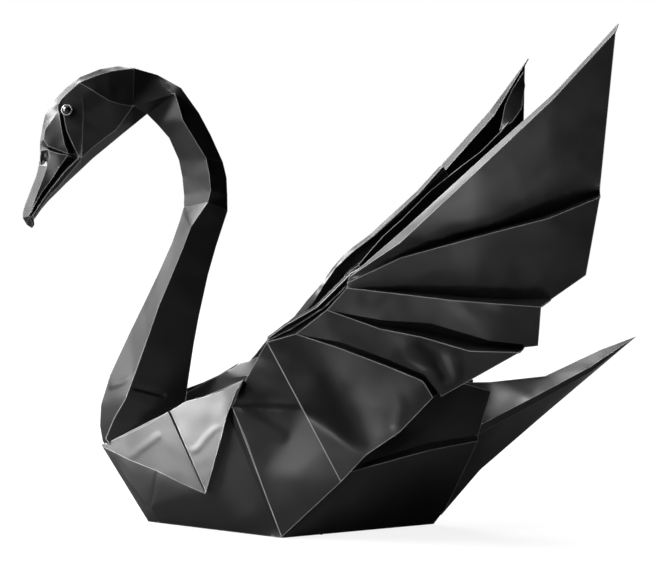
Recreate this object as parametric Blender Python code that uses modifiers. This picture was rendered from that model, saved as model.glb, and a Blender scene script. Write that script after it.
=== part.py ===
"""A swan folded from one sheet of black paper, with fan-pleated wings and two bead eyes.

The swan faces -X with its left side at -Y, stands on z = 0 and is the same on both sides of y = 0.
Every fold line is drawn for the left half on a millimetre grid, as (along, across, up). A grid is
set at its origin and stretched to the driving sizes below, and a Mirror makes the right half.
"""

import bmesh
import bpy
from mathutils import Matrix, Vector

MM = 0.001

# Driving sizes, in metres
PAPER_THICKNESS = 0.35 * MM
BODY_LENGTH = 97.0 * MM
BODY_HALF_WIDTH = 16.5 * MM
BODY_HEIGHT = 51.0 * MM
SHOULDER_HEIGHT = 61.5 * MM
WING_REACH = 97.0 * MM
WING_SPREAD = 42.5 * MM
WING_RISE = 104.5 * MM
NECK_SWEEP = 38.0 * MM
NECK_HALF_WIDTH = 7.0 * MM
NECK_RISE = 123.0 * MM
HEAD_LENGTH = 34.0 * MM
HEAD_HALF_WIDTH = 5.2 * MM
HEAD_DROP = 53.0 * MM
TAIL_LENGTH = 65.0 * MM
TAIL_HALF_WIDTH = 12.0 * MM
TAIL_RISE = 62.0 * MM
EYE_DIAMETER = 4.0 * MM
EYE_HEIGHT = 1.2 * MM
EYE_GAP = 0.3 * MM

# Settings of the modelling, not sizes of the swan
MERGE_DISTANCE = 0.00005
EYE_STEPS = 28


class Grid:
    """A drawing grid: its origin in the swan, its drawn extents in mm and the real sizes they stand for."""

    def __init__(self, origin, drawn, real):
        self.origin = Vector(origin)
        self.scale = Vector((real[0] / drawn[0], real[1] / drawn[1], real[2] / drawn[2]))

    def point(self, drawn_point):
        """The place in the swan of one drawn point."""
        return self.origin + self.scale * Vector(drawn_point)

    def line(self, *drawn_points):
        """The places in the swan of a fold line's points."""
        return [self.point(drawn_point) for drawn_point in drawn_points]


BODY = Grid((0.0, 0.0, 0.0), (97.0, 16.5, 51.0), (BODY_LENGTH, BODY_HALF_WIDTH, BODY_HEIGHT))
BREAST_POINT = BODY.point((-58.0, 0.0, 25.3))
STERN_POINT = BODY.point((58.5, 0.0, 5.7))
SHOULDER_POINT = Vector((BODY.point((-5.5, 0.0, 0.0)).x, 0.0, SHOULDER_HEIGHT))
WING = Grid(SHOULDER_POINT, (97.0, 42.5, 104.5), (WING_REACH, WING_SPREAD, WING_RISE))
NECK = Grid(BREAST_POINT, (38.0, 7.0, 123.0), (NECK_SWEEP, NECK_HALF_WIDTH, NECK_RISE))
NAPE_POINT = NECK.point((6.4, 0.0, 123.2))
HEAD = Grid(NAPE_POINT, (34.0, 5.2, 53.0), (HEAD_LENGTH, HEAD_HALF_WIDTH, HEAD_DROP))
TAIL = Grid(STERN_POINT, (65.0, 12.0, 62.0), (TAIL_LENGTH, TAIL_HALF_WIDTH, TAIL_RISE))


def between(first_line, second_line):
    """The faces of the strip of paper between two fold lines with as many points."""
    faces = []
    for index in range(len(first_line) - 1):
        corners = [first_line[index], first_line[index + 1], second_line[index + 1], second_line[index]]
        kept = [corner for place, corner in enumerate(corners) if (corner - corners[place - 1]).length > 1e-9]
        faces.append(kept)
    return faces


def collection_named(name, hidden):
    """A new collection in the scene, hidden in renders when it holds helpers."""
    made = bpy.data.collections.new(name)
    bpy.context.scene.collection.children.link(made)
    made.hide_render = hidden
    return made


def material_named(name, colour, roughness):
    """A Principled material."""
    made = bpy.data.materials.new(name)
    made.use_nodes = True
    shader = made.node_tree.nodes["Principled BSDF"]
    shader.inputs["Base Color"].default_value = (*colour, 1.0)
    shader.inputs["Roughness"].default_value = roughness
    return made


def add_shell(name, faces, collection, material):
    """A folded sheet: the left half as one open surface, mirrored and thickened inwards."""
    mesh = bpy.data.meshes.new(name)
    shape = bmesh.new()
    known = {}
    for face in faces:
        corners = []
        for corner in face:
            key = tuple(round(value * 1e7) for value in corner)
            if key not in known:
                known[key] = shape.verts.new(corner)
            corners.append(known[key])
        shape.faces.new(corners)
    bmesh.ops.recalc_face_normals(shape, faces=shape.faces)
    shape.faces.ensure_lookup_table()
    if sum(face.normal.y * face.calc_area() for face in shape.faces) > 0:
        bmesh.ops.reverse_faces(shape, faces=shape.faces)
    bmesh.ops.triangulate(shape, faces=shape.faces)
    shape.to_mesh(mesh)
    shape.free()
    made = bpy.data.objects.new(name, mesh)
    made.data.materials.append(material)
    collection.objects.link(made)
    mirror = made.modifiers.new("right_half", "MIRROR")
    mirror.use_axis = (False, True, False)
    mirror.use_clip = True
    mirror.merge_threshold = MERGE_DISTANCE
    paper = made.modifiers.new("paper", "SOLIDIFY")
    paper.solidify_mode = "NON_MANIFOLD"
    paper.nonmanifold_thickness_mode = "CONSTRAINTS"
    paper.thickness = PAPER_THICKNESS
    paper.offset = -1.0
    return made


def join(target, other):
    """An exact union that fuses another folded sheet into the target."""
    fused = target.modifiers.new("joined_" + other.name, "BOOLEAN")
    fused.operation = "UNION"
    fused.solver = "EXACT"
    fused.use_self = True
    fused.object = other


def hull_faces():
    """The boat-shaped body: flat base, bow, sides tucked in under the wings and stepped behind, open top."""
    base_front, base_side, base_rear = BODY.line((-42.0, 0.0, 0.0), (1.0, -16.5, 0.0), (55.0, 0.0, 0.0))
    breast = BREAST_POINT
    bow_high, bow_low, bow_foot = BODY.line((-48.3, -1.9, 13.6), (-41.2, -2.6, 6.2), (-38.5, -1.4, 0.0))
    chine, knee = BODY.line((-39.6, -6.5, 19.0), (-23.8, -13.0, 13.5))
    rail_front, rail_mid, rail_side = BODY.line((-36.9, -8.5, 38.7), (-13.5, -13.5, 50.6), (-16.6, -14.2, 42.0))
    tuck_front, tuck_rear = BODY.line((-4.0, -7.6, 48.6), (22.0, -9.6, 44.0))
    step_start = BODY.point((11.0, -15.3, 18.5))
    step_low = BODY.line((25.0, -15.6, 22.6), (48.7, -14.5, 29.2), (65.3, -12.5, 32.1))
    step_high = BODY.line((27.0, -13.8, 24.4), (48.7, -12.6, 31.2), (65.6, -11.2, 33.8))
    rail_rear, corner_rear = BODY.line((59.6, -12.5, 51.1), (69.1, -11.0, 48.7))
    stern_side, stern_foot = BODY.point((58.2, -3.0, 6.5)), STERN_POINT
    faces = [
        [base_front, bow_foot, base_side, base_rear],
        [base_front, breast, bow_high, bow_low, bow_foot],
        [breast, chine, bow_low, bow_high],
        [chine, knee, base_side, bow_foot, bow_low],
        [breast, rail_front, knee, chine],
        [rail_front, rail_mid, rail_side, knee],
        [knee, rail_side, base_side],
        [base_side, step_start, step_low[0], base_rear],
        [step_low[0], step_low[1], base_rear],
        [step_low[1], step_low[2], stern_side, base_rear],
        [base_rear, stern_side, stern_foot],
        [base_side, rail_side, step_start],
        [rail_side, rail_mid, tuck_front],
        [rail_side, tuck_front, step_start],
        [tuck_front, tuck_rear, step_high[0], step_start],
        [tuck_rear, rail_rear, step_high[1], step_high[0]],
        [rail_rear, corner_rear, step_high[2], step_high[1]],
    ]
    return faces + between([step_start, *step_low], [step_start, *step_high])


def flap_faces():
    """The breast flap: a pointed layer folded over the front of the hull, with one crease."""
    top_front = BODY.line((-50.4, -3.35, 29.7), (-42.5, -7.2, 34.7))
    crease_top, crease_foot = BODY.line((-36.9, -9.5, 39.0), (-24.1, -15.0, 13.9))
    top_rear = BODY.line((-31.3, -11.0, 42.9), (-25.4, -12.5, 44.9), (-20.1, -14.0, 47.3), (-13.7, -15.0, 51.2))
    rear_edge = BODY.line((-15.7, -15.5, 47.7), (-18.6, -16.3, 38.8), (-19.9, -16.3, 31.7))
    low_edge = BODY.line((-32.2, -9.75, 16.4), (-39.6, -6.7, 19.2), (-48.5, -3.4, 21.6))
    tip_top, tip_foot = BODY.line((-58.2, 0.0, 26.0), (-58.1, 0.0, 24.4))
    return [
        [tip_foot, tip_top, *top_front, crease_top, crease_foot, *low_edge],
        [crease_top, *top_rear, *rear_edge, crease_foot],
    ]


def wing_faces():
    """One wing: shoulder, apron and a fan of pleats that opens from the root to the trailing edge."""
    apex = WING.point((0.0, -2.0, 0.0))
    shoulder_edge = BODY.line((-8.4, -4.5, 56.8), (-13.0, -11.0, 49.2), (-16.8, -15.5, 42.2))
    flank_edge = BODY.line((-11.9, -15.8, 31.8), (-6.9, -16.15, 19.1), (0.9, -16.7, 0.4))
    fold_end, skirt = WING.point((11.3, -14.0, -19.4)), WING.point((24.3, -20.0, -41.9))
    free_edge = WING.line((31.6, -22.0, -32.5), (41.6, -24.5, -24.3))
    soft_fold = WING.line((17.2, -9.0, -7.0), (25.2, -14.5, -18.0))
    roots = WING.line((25.8, -5.0, 22.8), (25.2, -5.0, 20.8), (25.3, -5.0, 19.2), (19.2, -4.0, 11.6), (9.4, -3.0, 3.1))
    leading = WING.line((40.4, -13.0, 38.3), (62.1, -25.0, 62.6), (81.1, -34.5, 83.4), (97.0, -42.5, 104.5))
    inner = WING.line((41.6, -11.0, 36.6), (63.3, -22.8, 60.9), (82.2, -32.2, 81.6), (96.6, -41.0, 100.5))
    band = WING.line((40.1, -15.5, 35.2), (61.5, -28.0, 60.0), (80.4, -37.0, 81.6), (96.1, -43.5, 102.1))
    pleats = (
        (
            WING.line((40.4, -15.0, 32.3), (63.2, -26.0, 41.1), (82.5, -34.0, 51.8), (96.6, -38.5, 55.3)),
            WING.line((41.0, -12.5, 30.9), (64.7, -21.0, 40.0), (84.6, -29.0, 47.2), (98.1, -35.0, 54.1)),
            WING.line((40.6, -14.5, 30.3), (63.1, -27.0, 38.9), (82.4, -35.5, 45.7), (96.2, -40.0, 52.8)),
        ),
        (
            WING.line((42.8, -14.0, 21.3), (64.7, -25.0, 22.8), (82.2, -31.0, 24.3), (95.0, -36.0, 28.6)),
            WING.line((43.6, -11.0, 19.4), (60.2, -18.0, 19.1), (74.7, -25.0, 19.3), (86.7, -30.0, 20.3)),
            WING.line((41.4, -13.5, 18.6), (56.0, -22.0, 18.0), (70.1, -29.5, 18.0), (81.6, -35.0, 18.1)),
        ),
        (
            WING.line((35.4, -13.0, 9.9), (50.4, -20.0, 10.2), (68.4, -27.0, 6.0), (82.7, -31.5, 5.5)),
            WING.line((36.1, -10.0, 7.9), (51.6, -16.0, 6.8), (66.1, -22.0, 3.9), (79.9, -27.0, 4.3)),
            WING.line((35.7, -12.5, 6.9), (47.6, -19.0, 5.6), (62.4, -26.0, 2.4), (77.1, -31.0, 3.2)),
        ),
        (
            WING.line((23.2, -10.0, 1.9), (37.0, -17.0, -2.0), (48.9, -23.0, -6.0), (54.4, -24.5, -12.6)),
            WING.line((23.5, -8.0, 0.6), (37.7, -14.0, -3.4), (49.2, -19.8, -7.2), (54.0, -21.5, -12.2)),
            WING.line((23.4, -9.5, -0.3), (37.2, -16.5, -4.4), (48.3, -23.5, -7.9), (51.4, -25.6, -12.8)),
        ),
    )
    faces = between([roots[0], *leading], [roots[0], *band])
    faces += between([roots[0], *inner], [roots[0], *leading])
    upper = [roots[0], *band]
    for number, (turn, valley, crease) in enumerate(pleats):
        root = roots[number + 1]
        turn, valley, crease = [root, *turn], [root, *valley], [root, *crease]
        faces += between(upper, turn) + between(turn, valley) + between(valley, crease)
        upper = crease
    faces += between(upper, [apex, *soft_fold, free_edge[0], free_edge[1]])
    faces += [
        [apex, *soft_fold, free_edge[0], skirt, fold_end],
        [apex, *shoulder_edge, fold_end],
        [shoulder_edge[-1], *flank_edge, skirt, fold_end],
    ]
    root_edge = [*roots, apex]
    root_valley = WING.line(
        (25.5, -3.0, 24.0), (24.1, -3.0, 21.5), (23.7, -2.9, 20.3), (17.5, -2.4, 12.8), (8.3, -1.8, 4.7), (0.1, -1.4, 0.8)
    )
    root_rim = WING.line(
        (27.0, -2.6, 27.0), (24.7, -2.4, 23.5), (22.7, -2.2, 21.3), (15.9, -1.8, 14.1), (7.1, -1.2, 6.1), (-0.1, -0.9, 1.7)
    )
    return faces + between(root_valley, root_edge) + between(root_rim, root_valley)


def neck_and_head_faces():
    """The neck tube with its kite section, and the faceted head and beak that continue it."""
    front = NECK.line(
        (10.0, 0.0, -12.5), (0.2, 0.0, 1.6), (-0.1, 0.0, 16.5), (1.9, 0.0, 23.4), (11.5, 0.0, 46.2),
        (18.0, 0.0, 62.2), (23.6, 0.0, 79.3), (23.5, 0.0, 81.2), (21.8, 0.0, 92.8), (18.0, 0.0, 101.3), (14.4, 0.0, 105.1)
    )
    side = NECK.line(
        (12.5, -2.0, -12.5), (1.3, -1.3, 2.6), (7.6, -7.0, 17.3), (9.5, -6.9, 23.2), (17.2, -6.5, 48.0),
        (23.0, -6.2, 64.0), (28.9, -5.5, 78.4), (32.1, -6.4, 82.0), (30.6, -5.8, 95.7), (25.3, -5.6, 102.4), (19.4, -5.2, 115.3)
    )
    back = NECK.line(
        (25.0, 0.0, -12.5), (26.0, 0.0, 1.8), (26.8, 0.0, 15.8), (27.4, 0.0, 24.0), (30.0, 0.0, 44.5),
        (33.7, 0.0, 64.1), (37.4, 0.0, 77.7), (37.8, 0.0, 79.7), (35.6, 0.0, 94.5), (30.2, 0.0, 104.2), (21.2, 0.0, 117.5)
    )
    top = HEAD.line(
        (0.0, 0.0, 0.0), (-5.4, 0.0, -0.1), (-11.0, 0.0, -1.4), (-17.1, 0.0, -4.3), (-21.4, 0.0, -8.0),
        (-26.2, 0.0, -13.7), (-28.2, 0.0, -18.5), (-28.9, 0.0, -24.9)
    )
    rim = HEAD.line(
        (-0.3, -1.1, -0.5), (-7.1, -1.7, -1.9), (-12.3, -2.2, -3.9), (-17.1, -2.8, -6.2), (-22.2, -2.6, -11.5),
        (-23.7, -2.6, -14.4), (-24.9, -2.2, -17.5), (-28.1, -1.4, -25.9)
    )
    cheek_top, cheek_rear, cheek_low = HEAD.line((-7.8, -5.0, -11.1), (0.0, -5.1, -12.5), (-3.5, -4.6, -18.6))
    cheek_fold, jaw_side = HEAD.line((-16.8, -5.0, -18.2), (-15.8, -5.2, -30.7))
    lore = HEAD.line((-22.6, -3.4, -16.5), (-20.5, -4.2, -23.0), (-19.0, -4.6, -28.3))
    throat = HEAD.line((-0.9, 0.0, -19.4), (-7.1, 0.0, -24.9), (-13.2, 0.0, -30.4), (-16.2, 0.0, -33.1))
    nostril = HEAD.point((-26.6, -1.0, -30.6))
    culmen = HEAD.line((-29.4, 0.0, -31.2), (-29.6, 0.0, -34.4), (-30.7, 0.0, -38.3), (-32.4, 0.0, -42.8), (-33.8, 0.0, -48.3))
    beak_ridge = HEAD.line((-27.0, -2.0, -28.7), (-26.5, -2.4, -33.7), (-28.2, -2.0, -40.7), (-29.7, -1.6, -44.9), (-31.2, -1.3, -47.5))
    beak_side = [lore[2], *HEAD.line((-21.4, -3.9, -32.5), (-25.1, -3.1, -37.4), (-28.7, -2.1, -43.9), (-30.9, -1.4, -47.5))]
    beak_edge = [jaw_side, *HEAD.line((-19.8, -3.7, -35.9), (-24.4, -2.7, -41.8), (-28.1, -1.9, -46.1), (-30.2, -1.2, -49.4))]
    hook = HEAD.line((-33.8, 0.0, -50.2), (-32.2, 0.0, -52.1), (-30.6, 0.0, -53.0), (-30.0, 0.0, -51.0))
    hook_side = HEAD.point((-31.6, -1.2, -49.8))
    crown_bend = NECK.point((13.5, 0.0, 121.2))
    faces = between(front, side) + between(side, back)
    faces += [
        [back[-1], side[-1], rim[0], crown_bend],
        [crown_bend, rim[0], top[0]],
        [side[-1], cheek_rear, rim[0]],
        [side[-1], front[-1], cheek_rear],
        [front[-1], throat[0], cheek_low, cheek_rear],
        [rim[0], rim[1], rim[2], rim[3], cheek_top, cheek_rear],
        [rim[3], cheek_fold, jaw_side, cheek_low, cheek_rear, cheek_top],
        [rim[3], rim[4], rim[5], lore[0], cheek_fold],
        [lore[0], lore[1], lore[2], jaw_side, cheek_fold],
        [rim[5], rim[6], rim[7], beak_ridge[0], lore[2], lore[1], lore[0]],
        [cheek_low, throat[0], throat[1]],
        [cheek_low, throat[1], jaw_side],
        [jaw_side, throat[1], throat[2]],
        [jaw_side, throat[2], throat[3]],
        [top[7], rim[7], beak_ridge[0], nostril],
        [top[7], nostril, culmen[0]],
        [culmen[0], nostril, beak_ridge[1]],
        [nostril, beak_ridge[0], beak_ridge[1]],
        [culmen[0], culmen[1], beak_ridge[1]],
        [culmen[4], hook[0], hook_side, beak_ridge[4]],
        [hook[0], hook[1], hook_side],
        [hook[1], hook[2], hook_side],
        [hook[2], hook[3], hook_side],
        [beak_ridge[4], hook_side, beak_edge[4], beak_side[4]],
        [hook_side, hook[3], beak_edge[4]],
    ]
    faces += between(top, rim) + between(culmen[1:], beak_ridge[1:])
    faces += between(beak_ridge, beak_side) + between(beak_side, beak_edge)
    return faces


def tail_faces():
    """The tail blade: ridge, eave, a narrow band under the eave and the side down to the keel."""
    ridge = TAIL.line((0.5, 0.0, 43.7), (13.4, 0.0, 44.2), (32.8, 0.0, 46.8), (52.0, 0.0, 56.5), (65.0, 0.0, 61.8))
    eave = TAIL.line((-1.0, -10.6, 29.0), (7.8, -10.0, 31.3), (25.2, -8.0, 40.1), (47.2, -4.0, 51.0), (65.0, 0.0, 61.8))
    band = TAIL.line((-1.0, -10.2, 25.6), (8.6, -9.0, 28.4), (26.0, -7.0, 37.6), (48.2, -3.2, 49.4), (65.0, 0.0, 61.8))
    keel = TAIL.line((-1.0, 0.0, -2.6), (11.8, 0.0, 13.5), (32.0, 0.0, 32.1), (52.4, 0.0, 50.5), (65.0, 0.0, 61.8))
    return between(ridge, eave) + between(eave, band) + between(band, keel)


def add_eye(name, side, collection, material):
    """A bead eye, turned about its axis and set just off the eye panel of the head."""
    radius = EYE_DIAMETER / 2
    profile = (
        (0.0, 0.0), (0.94, 0.0), (1.0, 0.12), (0.98, 0.4), (0.86, 0.52), (0.74, 0.4),
        (0.68, 0.48), (0.52, 0.74), (0.3, 0.92), (0.0, 1.0)
    )
    mesh = bpy.data.meshes.new(name)
    points = [(share * radius, 0.0, height * EYE_HEIGHT) for share, height in profile]
    mesh.from_pydata(points, [(index, index + 1) for index in range(len(points) - 1)], [])
    made = bpy.data.objects.new(name, mesh)
    made.data.materials.append(material)
    collection.objects.link(made)
    screw = made.modifiers.new("turned", "SCREW")
    screw.steps = EYE_STEPS
    screw.render_steps = EYE_STEPS
    screw.use_merge_vertices = True
    screw.merge_threshold = MERGE_DISTANCE
    screw.use_normal_flip = True
    panel = HEAD.line((-17.1, -2.8, -6.2), (-23.7, -2.6, -14.4), (-16.8, -5.0, -18.2))
    outwards = (panel[1] - panel[0]).cross(panel[2] - panel[0]).normalized()
    if outwards.y > 0:
        outwards = -outwards
    seat = HEAD.point((-20.3, 0.0, -15.3))
    seat.y = panel[0].y - ((seat - panel[0]).x * outwards.x + (seat - panel[0]).z * outwards.z) / outwards.y
    seat += outwards * EYE_GAP
    if side > 0:
        seat.y = -seat.y
        outwards.y = -outwards.y
    made.matrix_world = Matrix.Translation(seat) @ outwards.to_track_quat("Z", "Y").to_matrix().to_4x4()
    return made


def main():
    for leftover in list(bpy.data.objects):
        bpy.data.objects.remove(leftover)
    swan = collection_named("origami_swan", hidden=False)
    layers = collection_named("sheet_layers", hidden=True)
    paper = material_named("black_paper", (0.012, 0.012, 0.013), 0.42)
    bead = material_named("eye_bead", (0.01, 0.01, 0.01), 0.08)
    sheet = add_shell("folded_sheet", hull_faces(), swan, paper)
    pieces = (
        ("breast_flaps", flap_faces()),
        ("wings", wing_faces()),
        ("neck_and_head", neck_and_head_faces()),
        ("tail_blade", tail_faces()),
    )
    for name, faces in pieces:
        layer = add_shell(name, faces, layers, paper)
        layer.hide_render = True
        layer.display_type = "WIRE"
        join(sheet, layer)
    add_eye("left_eye", -1, swan, bead)
    add_eye("right_eye", 1, swan, bead)


main()
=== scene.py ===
"""A swan folded from one sheet of black paper: its folded layers, its bead eyes and a plain studio.

The swan faces -X with its left side at -Y and stands on z = 0. Fold lines are drawn for the left
half in millimetres, as (along, across, up) from an origin, and the right half mirrors it.
"""

import logging
import math
from collections.abc import Iterable, Sequence
from dataclasses import dataclass, field
from enum import Enum

import bmesh
import bpy
from bmesh.types import BMEdge, BMesh, BMVert
from mathutils import Matrix, Vector, geometry
from mathutils.kdtree import KDTree


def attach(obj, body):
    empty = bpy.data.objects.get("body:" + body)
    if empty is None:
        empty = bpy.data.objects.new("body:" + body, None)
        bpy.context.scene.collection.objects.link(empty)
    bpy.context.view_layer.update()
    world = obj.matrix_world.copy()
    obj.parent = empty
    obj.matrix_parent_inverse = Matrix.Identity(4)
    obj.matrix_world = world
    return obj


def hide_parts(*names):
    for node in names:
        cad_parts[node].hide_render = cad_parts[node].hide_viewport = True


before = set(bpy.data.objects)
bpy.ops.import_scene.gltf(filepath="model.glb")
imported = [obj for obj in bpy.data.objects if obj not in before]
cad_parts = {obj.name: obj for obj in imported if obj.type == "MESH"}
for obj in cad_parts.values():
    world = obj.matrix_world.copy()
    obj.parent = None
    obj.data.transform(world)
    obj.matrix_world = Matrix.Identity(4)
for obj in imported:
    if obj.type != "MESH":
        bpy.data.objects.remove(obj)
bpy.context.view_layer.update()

log = logging.getLogger("swan")
MM = 0.001
BODY = "root"
PAPER_THICKNESS = 0.35 * MM
SAME_PLACE = 0.02 * MM
Drawn = tuple[float, float, float]
Span = tuple[float, float]
Socket = bpy.types.NodeSocket


def linear(hex_colour: str) -> tuple[float, float, float, float]:
    """Turns an sRGB hex colour to the linear colour that a shader takes.

    Args:
        hex_colour: The colour as six hex digits after a hash.

    Returns:
        Red, green, blue and an alpha of one.
    """
    shares = [int(hex_colour[start : start + 2], 16) / 255 for start in (1, 3, 5)]
    red, green, blue = (
        share / 12.92 if share <= 0.04045 else ((share + 0.055) / 1.055) ** 2.4 for share in shares
    )
    return red, green, blue, 1.0


def add_node(
    tree: bpy.types.NodeTree, kind: str, settings: dict | None = None, **inputs: object
) -> bpy.types.Node:
    """Adds one shader node.

    Args:
        tree: The node tree that gets it.
        kind: The node's Blender type name.
        settings: Properties of the node itself.
        inputs: Values or links by socket name, with an underscore for a space, or socket_N by number.

    Returns:
        The new node.
    """
    node = tree.nodes.new(kind)
    for name, value in (settings or {}).items():
        setattr(node, name, value)
    for name, value in inputs.items():
        words = name.split("_")
        key = int(words[1]) if words[0] == "socket" else name.replace("_", " ")
        socket = node.inputs[key]
        if isinstance(value, bpy.types.NodeSocket):
            tree.links.new(value, socket)
        else:
            socket.default_value = value
    return node


def map_range(
    tree: bpy.types.NodeTree, value: Socket, taken: Span, given: Span, curve: str = "LINEAR"
) -> Socket:
    """Turns one span of values to another.

    Args:
        tree: The node tree.
        value: The value to turn.
        taken: The span that the value comes in.
        given: The span that it is turned to.
        curve: The way between the two ends, by its Blender name.

    Returns:
        The turned value.
    """
    ends = {f"socket_{number + 1}": end for number, end in enumerate((*taken, *given))}
    settings = {"interpolation_type": curve}
    return add_node(tree, "ShaderNodeMapRange", settings, Value=value, **ends).outputs["Result"]


def combine(tree: bpy.types.NodeTree, operation: str, first: Socket, second: Socket) -> Socket:
    """Joins two values by a Blender math operation."""
    settings = {"operation": operation}
    return add_node(tree, "ShaderNodeMath", settings, socket_0=first, socket_1=second).outputs["Value"]


def mix(tree: bpy.types.NodeTree, share: Socket, first: object, second: object) -> Socket:
    """Mixes two colours, of which the share is the second one's."""
    settings = {"data_type": "RGBA"}
    node = add_node(tree, "ShaderNodeMix", settings, Factor=share, socket_6=first, socket_7=second)
    return node.outputs[2]


def noise(tree: bpy.types.NodeTree, scale: float, detail: float) -> Socket:
    """Spreads a noise over the object, with its scale per metre."""
    place = add_node(tree, "ShaderNodeTexCoord").outputs["Object"]
    return add_node(tree, "ShaderNodeTexNoise", Vector=place, Scale=scale, Detail=detail).outputs["Fac"]


def new_material(name: str) -> tuple[bpy.types.Material, bpy.types.NodeTree, bpy.types.Node]:
    """Starts a material, and gives it with its node tree and its main shader."""
    made = bpy.data.materials.new(name)
    made.use_nodes = True
    return made, made.node_tree, made.node_tree.nodes["Principled BSDF"]


def add_object(name: str, data: bpy.types.ID) -> bpy.types.Object:
    """Puts a mesh, a lamp or a camera into the scene."""
    made = bpy.data.objects.new(name, data)
    bpy.context.scene.collection.objects.link(made)
    return made


def add_mesh(name: str, shape: BMesh, material: bpy.types.Material) -> bpy.types.Object:
    """Puts a drawn shape of one material into the scene, and frees the drawing."""
    mesh = bpy.data.meshes.new(name)
    shape.to_mesh(mesh)
    shape.free()
    mesh.materials.append(material)
    return add_object(name, mesh)


class Grid:
    """A drawing grid in millimetres, set at its origin on the swan."""

    def __init__(self, origin: Drawn) -> None:
        """Sets the grid's origin, in millimetres."""
        self.origin = Vector(origin)

    def point(self, drawn: Drawn) -> Vector:
        """The place of one drawn point, in metres."""
        return (self.origin + Vector(drawn)) * MM

    def line(self, *drawn: Drawn) -> list[Vector]:
        """The places of a fold line's points, in metres."""
        return [self.point(point) for point in drawn]

    def middle(self, *drawn: tuple[float, float]) -> list[Vector]:
        """The places of a line in the swan's middle plane, drawn as (along, up)."""
        return [self.point((along, 0.0, up)) for along, up in drawn]


HULL = Grid((0, 0, 0))
WING = Grid((-5.5, 0, 61.5))
NECK = Grid((-58, 0, 25.3))
HEAD = Grid((-51.6, 0, 148.5))
TAIL = Grid((58.5, 0, 5.7))


class Half(Enum):
    """Which side of the swan a layer covers."""

    LEFT = "left"
    RIGHT = "right"
    BOTH = "both"


@dataclass
class Ridge:
    """A soft fold pressed into a panel: a bent crest that fades to both sides.

    Heights are in metres along the surface's normal, so a negative height is a dent.
    """

    crest: list[Vector]
    height: float
    reach: float

    def lift(self, place: Vector) -> float:
        """How far the fold moves the surface at a place.

        Args:
            place: A point of the surface.

        Returns:
            The move along the normal, in metres.
        """
        away = 1.0
        for start, end in zip(self.crest, self.crest[1:]):
            _, share = geometry.intersect_point_line(place, start, end)
            nearest = start.lerp(end, min(max(share, 0.0), 1.0))
            away = min(away, (place - nearest).length / self.reach)
        return self.height * (1.0 - away) ** 2 * (1.0 + 2.0 * away)


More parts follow.
